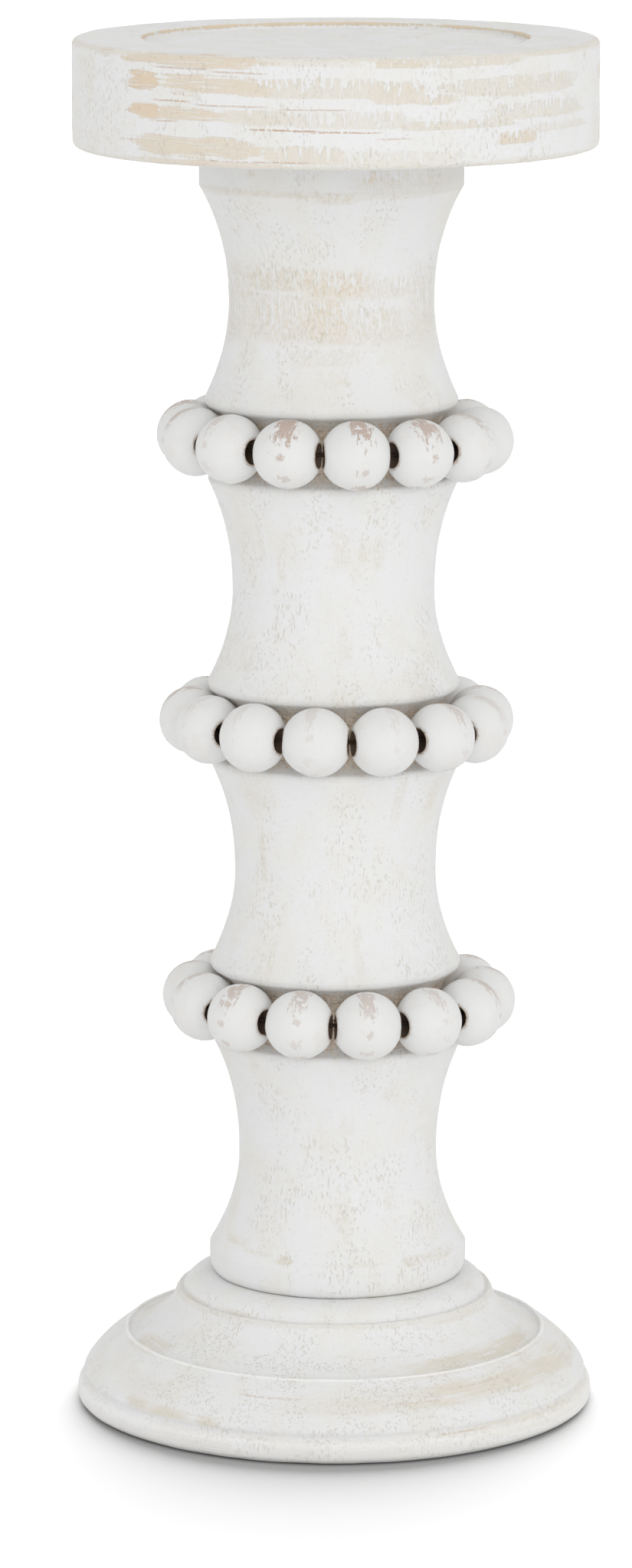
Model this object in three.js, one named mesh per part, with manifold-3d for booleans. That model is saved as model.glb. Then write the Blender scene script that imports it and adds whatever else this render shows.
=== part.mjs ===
// A turned wooden candlestick: a foot, four stacked spools and a candle plate, with a loose
// string of wooden beads lying in the groove between each spool and the next.
// Millimetres, +Z up. The origin is the middle of the foot's underside, and -Y is the front.
import * as THREE from 'three';
import * as BufferGeometryUtils from 'three/addons/utils/BufferGeometryUtils.js';
import Module from 'manifold-3d';

const wasm = await Module();
wasm.setup();

// Heights along the stick
const TOTAL_HEIGHT = 320.8;
const PLATE_THICKNESS = 24.8;
const FOOT_HEIGHT = 30.8;
const LOWEST_GROOVE = 96.6;
const GROOVE_PITCH = 66;
const GROOVE_HEIGHTS = [0, 1, 2].map((n) => LOWEST_GROOVE + n * GROOVE_PITCH);
const FIT_GAP = 0.3;

// The pieces were glued up by eye, so each one's axis stands a little to one side of the foot's
const PLATE_AXIS = 0.35;
const SPOOL_AXES = [0.8, 0.2, -0.2, -0.65];
const STRING_AXES = [1, 0.7, 0];

// Candle plate
const PLATE_RADIUS = 60.3;
const PLATE_EDGE = 1.6;
const RECESS_RADIUS = 44.2;
const RECESS_DEPTH = 1.4;

// Spools
const COVE_RADIUS = 9.3;
const LIP_RADIUS = 29.2;
const RIM_RADIUS = 28.9;
const WAIST_RADII = [23.15, 23.4, 23.4, 23.65];
const WAIST_SHARE = 0.45;
const FLARE_ABOVE = 2.25;
const FLARE_BELOW = 1.93;
const TOP_BAND_RADIUS = 30.4;
const TOP_BAND_HEIGHT = 8.6;
const LOW_BAND_RADIUS = 30.1;
const LOW_BAND_HEIGHT = 6.7;
const LOW_BAND_ROUND = 4;
const LOW_EDGE_RADIUS = 28.4;

// Foot
const FOOT_UNDERSIDE = 58;
const FOOT_RADIUS = 60.65;
const FOOT_WIDEST_AT = 1.75;
const ARRIS_RADIUS = 49.5;
const ARRIS_HEIGHT = 16.85;
const STEP_RADIUS = 37;
const STEP_HEIGHT = 26.4;
const FOOT_TOP_RADIUS = 28.9;
const DOME_HANDLES = { rise: 7.3, out: 3.6, drop: 2.5 };
const HOLLOW_HANDLES = { in: 7.3, rise: 2.2, out: 1.2, drop: 4.4 };
const ARRIS_BEVEL = { in: 0.5, rise: 0.3 };

// Bead strings
const BEADS = 13;
const BEAD_RADIUS = 7.9;
const BEAD_HALF_LENGTH = 6.95;
const BEAD_END_RADIUS = 3.1;
const BORE_RADIUS = 2.9;
const STRING_RADIUS = 33.5;
const BEAD_PITCH = 26.45;
const FIRST_BEADS = [-147.6, -140.4, -124];
const STRING_SINKS = [0.6, 0.4, 0.2];
const FRONT_LIFTS = [1.3, 1.3, 1];
const LEFT_LIFTS = [0.8, 0.7, 0.8];
const CORD_RADIUS = 0.5;
const CORD_LINE = STRING_RADIUS - 0.8;
const CORD_STOPS = 36;
const KNOT_RADIUS = 1.9;
const KNOT_HALF_ANGLE = 1.5;
const TAIL_LENGTH = 6;
const TAIL_DROP = 20;
const TAIL_SPREAD = 25;
const TAIL_START = 15;

// Joinery inside
const DOWEL_RADIUS = 5;
const DOWEL_HALF = 14.5;
const DOWEL_CHAMFER = 1;
const GLUE_ROOM = 0.5;
const SOCKET_RADIUS = DOWEL_RADIUS + GLUE_ROOM;
const SOCKET_DEPTH = DOWEL_HALF + GLUE_ROOM;
const PLATE_SOCKET_DEPTH = 13;
const SCREW_RADIUS = 2;
const SCREW_HEAD_RADIUS = 4.2;
const SCREW_HEAD_HEIGHT = 2.6;
const SCREW_HEAD_EDGE = 0.6;
const SCREW_TOP = 52;
const SCREW_POINT = 4;
const PILOT_RADIUS = SCREW_RADIUS + 0.7;
const PILOT_DEPTH = 24;
const COUNTERBORE_RADIUS = 5.5;
const COUNTERBORE_DEPTH = 7;

const ROUND_SIDES = 40;
const SPOOL_SIDES = 32;
const SMALL_SIDES = 12;
const BEAD_SIDES = 10;
const CORD_SIDES = 6;

const paintedWood = (name) => new THREE.MeshStandardMaterial({
  name, color: 0xe9e8e4, roughness: 0.8, metalness: 0,
});
const platePaint = paintedWood('plate_paint');
const spoolPaint = paintedWood('spool_paint');
const footPaint = paintedWood('foot_paint');
const beadPaint = new THREE.MeshStandardMaterial({
  name: 'bead_paint', color: 0xe8e5df, roughness: 0.6, metalness: 0,
});
const dowelWood = new THREE.MeshStandardMaterial({
  name: 'bare_wood', color: 0xb8966a, roughness: 0.85, metalness: 0,
});
const cordThread = new THREE.MeshStandardMaterial({
  name: 'cord', color: 0x33261c, roughness: 0.95, metalness: 0,
});
const screwSteel = new THREE.MeshStandardMaterial({
  name: 'screw_steel', color: 0x9a9a96, roughness: 0.4, metalness: 0.9,
});

const radians = THREE.MathUtils.degToRad;

// Revolves an outline of (radius, height) points about the vertical axis.
function turned(points, sides) {
  const outline = points.map(([radius, height]) => new THREE.Vector2(radius, height));
  return new THREE.LatheGeometry(outline, sides).rotateX(Math.PI / 2);
}

// Points of an elliptical quarter or part of one, angles in degrees from the +radius direction.
function arc(centreRadius, centreHeight, across, up, from, to, steps) {
  const clockwise = to < from;
  return new THREE.EllipseCurve(
    centreRadius, centreHeight, across, up, radians(from), radians(to), clockwise,
  ).getPoints(steps).map((p) => [p.x, p.y]);
}

function bezier(points, steps) {
  const [start, first, second, end] = points.map(([x, y]) => new THREE.Vector2(x, y));
  return new THREE.CubicBezierCurve(start, first, second, end)
    .getPoints(steps).map((p) => [p.x, p.y]);
}

function named(name, geometry, material, x = 0) {
  const mesh = new THREE.Mesh(geometry, material);
  mesh.name = name;
  mesh.position.x = x;
  return mesh;
}

function toSolid(geometry) {
  const bare = geometry.clone();
  bare.deleteAttribute('normal');
  bare.deleteAttribute('uv');
  const merged = BufferGeometryUtils.mergeVertices(bare, 1e-5);
  return new wasm.Manifold(new wasm.Mesh({
    numProp: 3,
    vertProperties: new Float32Array(merged.attributes.position.array),
    triVerts: new Uint32Array(merged.index.array),
  }));
}

function toGeometry(solid) {
  const { vertProperties, triVerts } = solid.getMesh();
  const geometry = new THREE.BufferGeometry();
  geometry.setAttribute('position', new THREE.BufferAttribute(vertProperties, 3));
  geometry.setIndex(new THREE.BufferAttribute(triVerts, 1));
  return geometry;
}

// Candle plate: a thick disc with a shallow round recess for the candle and a blind dowel socket.
function candlePlate() {
  const bottom = TOTAL_HEIGHT - PLATE_THICKNESS;
  const side = PLATE_RADIUS - PLATE_EDGE;
  const outline = [
    [0, bottom + PLATE_SOCKET_DEPTH],
    [SOCKET_RADIUS, bottom + PLATE_SOCKET_DEPTH],
    [SOCKET_RADIUS, bottom],
    ...arc(side, bottom + PLATE_EDGE, PLATE_EDGE, PLATE_EDGE, -90, 0, 2),
    ...arc(side, TOTAL_HEIGHT - PLATE_EDGE, PLATE_EDGE, PLATE_EDGE, 0, 90, 2),
    [RECESS_RADIUS, TOTAL_HEIGHT],
    [RECESS_RADIUS, TOTAL_HEIGHT - RECESS_DEPTH],
    [0, TOTAL_HEIGHT - RECESS_DEPTH],
  ];
  return named('candle_plate', turned(outline, ROUND_SIDES), platePaint, PLATE_AXIS);
}

// The hollow side of a spool, from its lower edge to its upper one: narrowest at the waist,
// a little below the middle, and flaring both ways by a power of the distance.
function spoolSide(bottom, bottomRadius, top, topRadius, waistRadius, steps = 9) {
  const waist = bottom + WAIST_SHARE * (top - bottom);
  return Array.from({ length: steps + 1 }, (_, n) => {
    const height = bottom + (n / steps) * (top - bottom);
    const below = height < waist;
    const share = below ? (waist - height) / (waist - bottom) : (height - waist) / (top - waist);
    const flare = share ** (below ? FLARE_BELOW : FLARE_ABOVE);
    return [waistRadius + flare * ((below ? bottomRadius : topRadius) - waistRadius), height];
  });
}

// The grooves are coves, struck round the line that the beads' middles lie on. The spools meet
// half way up them, so each spool has half a cove at the end where there is a string.
const COVE_MIDDLES = GROOVE_HEIGHTS.map((height, index) => height - STRING_SINKS[index]);
const coveReach = (radius) => THREE.MathUtils.radToDeg(
  Math.acos((STRING_RADIUS - radius) / COVE_RADIUS),
);
const coveRise = (radius) => COVE_RADIUS * Math.sin(radians(coveReach(radius)));
const COVE_GAP = THREE.MathUtils.radToDeg(Math.asin(FIT_GAP / 2 / COVE_RADIUS));

// The lower end of a spool over a cove: a dowel socket, then the upper half of the cove.
function coveBelow(middle) {
  const bottom = middle + FIT_GAP / 2;
  return [
    [0, bottom + SOCKET_DEPTH],
    [SOCKET_RADIUS, bottom + SOCKET_DEPTH],
    [SOCKET_RADIUS, bottom],
    ...arc(STRING_RADIUS, middle, COVE_RADIUS, COVE_RADIUS, 180 - COVE_GAP,
      180 - coveReach(LIP_RADIUS), 4),
  ];
}

// The upper end of a spool under a cove: the lower half of the cove, then a dowel socket.
function coveAbove(middle) {
  const top = middle - FIT_GAP / 2;
  return [
    ...arc(STRING_RADIUS, middle, COVE_RADIUS, COVE_RADIUS, 180 + coveReach(RIM_RADIUS),
      180 + COVE_GAP, 4),
    [SOCKET_RADIUS, top],
    [SOCKET_RADIUS, top - SOCKET_DEPTH],
    [0, top - SOCKET_DEPTH],
  ];
}

// Lowest spool: stands on the foot on a rounded plain band, with a pilot hole for the foot's screw.
function bottomSpool() {
  const bottom = FOOT_HEIGHT + FIT_GAP;
  const bandTop = bottom + LOW_BAND_HEIGHT;
  const rim = COVE_MIDDLES[0] - coveRise(RIM_RADIUS);
  const outline = [
    [0, bottom + PILOT_DEPTH],
    [PILOT_RADIUS, bottom + PILOT_DEPTH],
    [PILOT_RADIUS, bottom],
    ...arc(LOW_EDGE_RADIUS, bottom + LOW_BAND_ROUND, LOW_BAND_RADIUS - LOW_EDGE_RADIUS,
      LOW_BAND_ROUND, -90, 0, 3),
    ...spoolSide(bandTop, LOW_BAND_RADIUS, rim, RIM_RADIUS, WAIST_RADII[0]).slice(0, -1),
    ...coveAbove(COVE_MIDDLES[0]),
  ];
  return named('spool_bottom', turned(outline, SPOOL_SIDES), spoolPaint, SPOOL_AXES[0]);
}

// The two middle spools are alike: half a cove, a hollow side, and half a cove again.
function middleSpool(name, index) {
  const below = COVE_MIDDLES[index - 1];
  const above = COVE_MIDDLES[index];
  const lip = below + coveRise(LIP_RADIUS);
  const rim = above - coveRise(RIM_RADIUS);
  const outline = [
    ...coveBelow(below).slice(0, -1),
    ...spoolSide(lip, LIP_RADIUS, rim, RIM_RADIUS, WAIST_RADII[index]).slice(0, -1),
    ...coveAbove(above),
  ];
  return named(name, turned(outline, SPOOL_SIDES), spoolPaint, SPOOL_AXES[index]);
}

// Top spool: ends in a straight band under the candle plate.
function topSpool() {
  const below = COVE_MIDDLES[2];
  const top = TOTAL_HEIGHT - PLATE_THICKNESS - FIT_GAP;
  const outline = [
    ...coveBelow(below).slice(0, -1),
    ...spoolSide(below + coveRise(LIP_RADIUS), LIP_RADIUS, top - TOP_BAND_HEIGHT,
      TOP_BAND_RADIUS, WAIST_RADII[3]),
    [TOP_BAND_RADIUS, top],
    [SOCKET_RADIUS, top],
    [SOCKET_RADIUS, top - SOCKET_DEPTH],
    [0, top - SOCKET_DEPTH],
  ];
  return named('spool_top', turned(outline, SPOOL_SIDES), spoolPaint, SPOOL_AXES[3]);
}

// Foot: a bulging lower rim, a raised line, a hollow and a small rounded step under the column,
// with a screw hole counterbored from below.
function foot() {
  const outline = [
    [COUNTERBORE_RADIUS, 0],
    ...arc(FOOT_UNDERSIDE, FOOT_WIDEST_AT, FOOT_RADIUS - FOOT_UNDERSIDE, FOOT_WIDEST_AT,
      -90, 0, 3),
    ...bezier([
      [FOOT_RADIUS, FOOT_WIDEST_AT],
      [FOOT_RADIUS, FOOT_WIDEST_AT + DOME_HANDLES.rise],
      [ARRIS_RADIUS + DOME_HANDLES.out, ARRIS_HEIGHT - DOME_HANDLES.drop],
      [ARRIS_RADIUS, ARRIS_HEIGHT],
    ], 7).slice(1),
    ...bezier([
      [ARRIS_RADIUS - ARRIS_BEVEL.in, ARRIS_HEIGHT + ARRIS_BEVEL.rise],
      [ARRIS_RADIUS - HOLLOW_HANDLES.in, ARRIS_HEIGHT + HOLLOW_HANDLES.rise],
      [STEP_RADIUS + HOLLOW_HANDLES.out, STEP_HEIGHT - HOLLOW_HANDLES.drop],
      [STEP_RADIUS, STEP_HEIGHT],
    ], 7),
    ...arc(FOOT_TOP_RADIUS, STEP_HEIGHT, STEP_RADIUS - FOOT_TOP_RADIUS,
      FOOT_HEIGHT - STEP_HEIGHT, 0, 90, 3).slice(1),
    [PILOT_RADIUS, FOOT_HEIGHT],
    [PILOT_RADIUS, COUNTERBORE_DEPTH],
    [COUNTERBORE_RADIUS, COUNTERBORE_DEPTH],
    [COUNTERBORE_RADIUS, 0],
  ];
  return named('foot', turned(outline, ROUND_SIDES), footPaint);
}

// Wood screw from below: a countersunk head, a plain shank and a point.
function footScrew() {
  const head = COUNTERBORE_DEPTH - FIT_GAP;
  const outline = [
    [0, head - SCREW_HEAD_HEIGHT],
    [SCREW_HEAD_RADIUS, head - SCREW_HEAD_HEIGHT],
    [SCREW_HEAD_RADIUS, head - SCREW_HEAD_HEIGHT + SCREW_HEAD_EDGE],
    [SCREW_RADIUS, head],
    [SCREW_RADIUS, SCREW_TOP - SCREW_POINT],
    [0, SCREW_TOP],
  ];
  return named('foot_screw', turned(outline, SMALL_SIDES), screwSteel, SPOOL_AXES[0] / 2);
}

// A round dowel with chamfered ends, lying across the joint at the given height.
function dowel(name, x, joint, above = DOWEL_HALF) {
  const outline = [
    [0, joint - DOWEL_HALF],
    [DOWEL_RADIUS - DOWEL_CHAMFER, joint - DOWEL_HALF],
    [DOWEL_RADIUS, joint - DOWEL_HALF + DOWEL_CHAMFER],
    [DOWEL_RADIUS, joint + above - DOWEL_CHAMFER],
    [DOWEL_RADIUS - DOWEL_CHAMFER, joint + above],
    [0, joint + above],
  ];
  return named(name, turned(outline, SMALL_SIDES), dowelWood, x);
}

// A bead: a slightly flattened ball, cut off square at both ends, on a wide drilled bore.
function beadShape() {
  const fullHalf = BEAD_HALF_LENGTH / Math.sqrt(1 - (BEAD_END_RADIUS / BEAD_RADIUS) ** 2);
  const end = THREE.MathUtils.radToDeg(Math.asin(BEAD_HALF_LENGTH / fullHalf));
  const outline = [
    [BORE_RADIUS, -BEAD_HALF_LENGTH],
    ...arc(0, 0, BEAD_RADIUS, fullHalf, -end, end, 4),
    [BORE_RADIUS, BEAD_HALF_LENGTH],
    [BORE_RADIUS, -BEAD_HALF_LENGTH],
  ];
  const points = outline.map(([radius, along]) => new THREE.Vector2(radius, along));
  return new THREE.LatheGeometry(points, BEAD_SIDES);
}

// Where something at this angle lies on a string; 0 is the front and 90 the right-hand side.
function onString(radius, degrees) {
  const angle = radians(degrees);
  return new THREE.Vector3(radius * Math.sin(angle), -radius * Math.cos(angle), 0);
}

// The cord: one round from the knot, through every bead, and back into the knot, with two cut tails.
function cordShape(knotAngle) {
  const span = (360 - 2 * KNOT_HALF_ANGLE) / CORD_STOPS;
  const route = new THREE.CatmullRomCurve3(Array.from(
    { length: CORD_STOPS + 1 },
    (_, n) => onString(CORD_LINE, knotAngle + KNOT_HALF_ANGLE + n * span),
  ));
  const section = new THREE.Shape().absarc(0, 0, CORD_RADIUS, 0, 2 * Math.PI);
  const loop = new THREE.ExtrudeGeometry(section, {
    steps: CORD_STOPS, extrudePath: route, curveSegments: CORD_SIDES / 2, bevelEnabled: false,
  });
  const knotPlace = onString(CORD_LINE, knotAngle);
  const knot = new THREE.SphereGeometry(KNOT_RADIUS, 8, 6)
    .translate(knotPlace.x, knotPlace.y, knotPlace.z);
  const tails = [-1, 1].map((side) => new THREE.CylinderGeometry(
    CORD_RADIUS, CORD_RADIUS, TAIL_LENGTH, CORD_SIDES,
  ).translate(0, -TAIL_LENGTH / 2, 0)
    .rotateX(radians(TAIL_DROP))
    .rotateY(radians(TAIL_SPREAD * side))
    .rotateX(Math.PI / 2)
    .rotateZ(radians(knotAngle + TAIL_START * side))
    .translate(knotPlace.x, knotPlace.y, knotPlace.z));
  const whole = [knot, ...tails].reduce((sum, piece) => sum.add(toSolid(piece)), toSolid(loop));
  return toGeometry(whole);
}

// A string of beads round one groove, with a little slack at the back where the knot is.
function beadString(level, index) {
  const string = new THREE.Group();
  string.position.set(STRING_AXES[index], 0, COVE_MIDDLES[index]);
  string.rotation.set(-radians(FRONT_LIFTS[index]), radians(LEFT_LIFTS[index]), 0);
  const bead = beadShape();
  for (let n = 0; n < BEADS; n += 1) {
    const angle = FIRST_BEADS[index] + n * BEAD_PITCH;
    const mesh = named(`bead_${level}_${String(n + 1).padStart(2, '0')}`, bead, beadPaint);
    mesh.position.copy(onString(STRING_RADIUS, angle));
    mesh.rotation.z = radians(angle - 90);
    string.add(mesh);
  }
  const knotAngle = FIRST_BEADS[index] - (360 - (BEADS - 1) * BEAD_PITCH) / 2;
  string.add(named(`cord_${level}`, cordShape(knotAngle), cordThread));
  return string;
}

const candlestick = new THREE.Group();
candlestick.add(
  foot(),
  footScrew(),
  bottomSpool(),
  middleSpool('spool_lower', 1),
  middleSpool('spool_upper', 2),
  topSpool(),
  candlePlate(),
);
['lower', 'middle', 'upper'].forEach((level, index) => {
  const x = (SPOOL_AXES[index] + SPOOL_AXES[index + 1]) / 2;
  candlestick.add(dowel(`dowel_${level}`, x, COVE_MIDDLES[index]), beadString(level, index));
});
candlestick.add(dowel(
  'dowel_plate', (SPOOL_AXES[3] + PLATE_AXIS) / 2,
  TOTAL_HEIGHT - PLATE_THICKNESS - FIT_GAP / 2, PLATE_SOCKET_DEPTH - GLUE_ROOM,
));

export default candlestick;
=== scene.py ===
# A distressed white candlestick, turned in wood: a foot, four spools and a candle plate, with a
# loose string of wooden beads in the cove between each spool and the next.
# Metres, +Z up, the foot's underside at z = 0, and -Y is the front.
import math

import bpy
from mathutils import Matrix, Vector
from mathutils.geometry import interpolate_bezier


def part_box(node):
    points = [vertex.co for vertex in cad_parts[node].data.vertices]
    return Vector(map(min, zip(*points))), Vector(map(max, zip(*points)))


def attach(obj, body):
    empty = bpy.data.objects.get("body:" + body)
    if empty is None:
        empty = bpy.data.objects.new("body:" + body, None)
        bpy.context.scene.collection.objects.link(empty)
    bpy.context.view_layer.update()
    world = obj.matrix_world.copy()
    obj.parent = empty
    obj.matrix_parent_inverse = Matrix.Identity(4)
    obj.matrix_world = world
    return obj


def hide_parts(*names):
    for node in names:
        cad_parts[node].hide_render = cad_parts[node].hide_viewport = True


MM = 0.001

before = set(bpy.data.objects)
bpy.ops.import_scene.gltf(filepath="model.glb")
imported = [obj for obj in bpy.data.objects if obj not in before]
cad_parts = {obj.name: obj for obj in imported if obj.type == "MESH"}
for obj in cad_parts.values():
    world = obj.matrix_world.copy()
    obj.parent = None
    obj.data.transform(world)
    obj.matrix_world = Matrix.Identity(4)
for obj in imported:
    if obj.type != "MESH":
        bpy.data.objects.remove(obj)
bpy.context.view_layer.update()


# Camera and studio: a long lens a metre and a half in front, looking a little down, over a plain
# pale floor under a white sky. One very soft low light comes from the front, a little from the
# right, and a second one, from behind, lights only the floor, where just the foot casts a shadow.
CAMERA_PLACE = (0, -1.544, 0.4416)
LOOKING_DOWN = 10.8
FLOOR_GAP = 0.1
FLOOR_GREY = 0.4
bpy.ops.object.camera_add(location=CAMERA_PLACE, rotation=(math.radians(90 - LOOKING_DOWN), 0, 0))
camera = bpy.context.object
camera.data.sensor_width = 36
camera.data.lens = 154.8
camera.data.shift_x = -0.0117
camera.data.clip_end = 1000
bpy.context.scene.camera = camera

bpy.context.scene.view_settings.view_transform = "Standard"
sky = bpy.data.worlds.new("white_sky")
sky.use_nodes = True
sky.node_tree.nodes["Background"].inputs["Color"].default_value = (1, 1, 1, 1)
sky.node_tree.nodes["Background"].inputs["Strength"].default_value = 0.91
bpy.context.scene.world = sky

bpy.ops.object.light_add(type="SUN", rotation=(math.radians(76), 0, math.radians(15)))
front_light = bpy.context.object
front_light.data.angle = math.radians(60)
front_light.data.energy = 0.84
bpy.ops.object.light_add(type="SUN", rotation=(math.radians(-62), 0, math.radians(-6)))
floor_light = bpy.context.object
floor_light.data.angle = math.radians(60)
floor_light.data.energy = 10.5

bpy.ops.mesh.primitive_plane_add(size=400, location=(0, 0, -FLOOR_GAP * MM))
floor = bpy.context.object
floor.name = "floor"
floor_paint = bpy.data.materials.new("pale_floor")
floor_paint.use_nodes = True
floor_shader = floor_paint.node_tree.nodes["Principled BSDF"]
floor_shader.inputs["Base Color"].default_value = (FLOOR_GREY,) * 3 + (1,)
floor_shader.inputs["Roughness"].default_value = 0.9
floor_shader.inputs["Specular IOR Level"].default_value = 0.1
floor.data.materials.append(floor_paint)
lit_from_behind = bpy.data.collections.new("lit_from_behind")
lit_from_behind.objects.link(floor)
floor_light.light_linking.receiver_collection = lit_from_behind
shading_the_floor = bpy.data.collections.new("shading_the_floor")
floor_light.light_linking.blocker_collection = shading_the_floor


# Foot: turned in one piece of wood with a bulging lower rim, a raised line, a hollow and a small
# rounded step under the column. It is primed beige, painted white and rubbed back here and there,
# and it has a screw hole, counterbored from below.
DEGREES = 180 / math.pi


def shade(red, green, blue):
    """A colour on the usual 0 to 255 scale, as the shader wants it."""
    linear = [((c / 255 + 0.055) / 1.055) ** 2.4 for c in (red, green, blue)]
    return (*linear, 1)


class Value:
    """An output of a material's nodes. Arithmetic on it adds Math nodes."""

    def __init__(self, socket):
        self.socket = socket
        self.tree = socket.id_data

    def node(self, kind, inputs, output=0, **settings):
        added = self.tree.nodes.new("ShaderNode" + kind)
        for name, value in settings.items():
            setattr(added, name, value)
        for place, value in inputs.items():
            if isinstance(value, Value):
                self.tree.links.new(value.socket, added.inputs[place])
            else:
                added.inputs[place].default_value = value
        return Value(added.outputs[output])

    def math(self, operation, other=0.0, swapped=False):
        first, second = (other, self) if swapped else (self, other)
        return self.node("Math", {0: first, 1: second}, operation=operation)

    def __add__(self, other):
        return self.math("ADD", other)

    __radd__ = __add__

    def __sub__(self, other):
        return self.math("SUBTRACT", other)

    def __rsub__(self, other):
        return self.math("SUBTRACT", other, swapped=True)

    def __mul__(self, other):
        return self.math("MULTIPLY", other)

    __rmul__ = __mul__

    def __truediv__(self, other):
        return self.math("DIVIDE", other)

    def __pow__(self, other):
        return self.math("POWER", other)

    def __abs__(self):
        return self.math("ABSOLUTE")

    def most(self, other):
        return self.math("MAXIMUM", other)

    def rise(self, start, end):
        """0 before start and 1 after end, and smooth between them."""
        return self.node("MapRange", {"Value": self, "From Min": start, "From Max": end},
                         interpolation_type="SMOOTHSTEP")

    def between(self, low, high, soft):
        return self.rise(low - soft, low + soft) * (1 - self.rise(high - soft, high + soft))

    def parts(self):
        """The x, y and z of a vector."""
        split = self.node("SeparateXYZ", {0: self}).socket.node
        return [Value(output) for output in split.outputs]

    def noise(self, size, upright=1.0, around=1.0, detail=2.0):
        """Noise with features of that size, longer upright or round about by those factors."""
        pace = (1 / size / around, 1 / size / around, 1 / size / upright)
        place = self.node("VectorMath", {0: self, 1: pace}, operation="MULTIPLY")
        return self.node("TexNoise", {"Vector": place, "Scale": 1.0, "Detail": detail})

    def blend(self, first, second):
        """The first colour where this mask is 0 and the second where it is 1."""
        return self.node("Mix", {0: self, 6: first, 7: second}, output=2, data_type="RGBA")


def new_finish(name):
    """An empty material: itself, its shader node, and the object coordinates as a Value."""
    material = bpy.data.materials.new(name)
    material.use_nodes = True
    shader = material.node_tree.nodes["Principled BSDF"]
    coordinates = material.node_tree.nodes.new("ShaderNodeTexCoord")
    return material, shader, Value(coordinates.outputs["Object"])


def join(value, shader, name):
    value.tree.links.new(value.socket, shader.inputs[name])


WHITE_PAINT = shade(222, 222, 222)
WARM_PAINT = shade(220, 219, 214)
PALE_BEIGE = shade(210, 203, 187)
TAN = shade(213, 193, 167)
SCRATCH = shade(190, 166, 145)
PIT = shade(212, 206, 193)
# A whiter white, used only for painted highlights.
HIGHLIGHT_WHITE = shade(236, 236, 235)
# Warm cream flecked with brown, deep in the coves.
COVE_CREAM = shade(236, 224, 208)
COVE_BROWN = shade(190, 166, 144)


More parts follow.
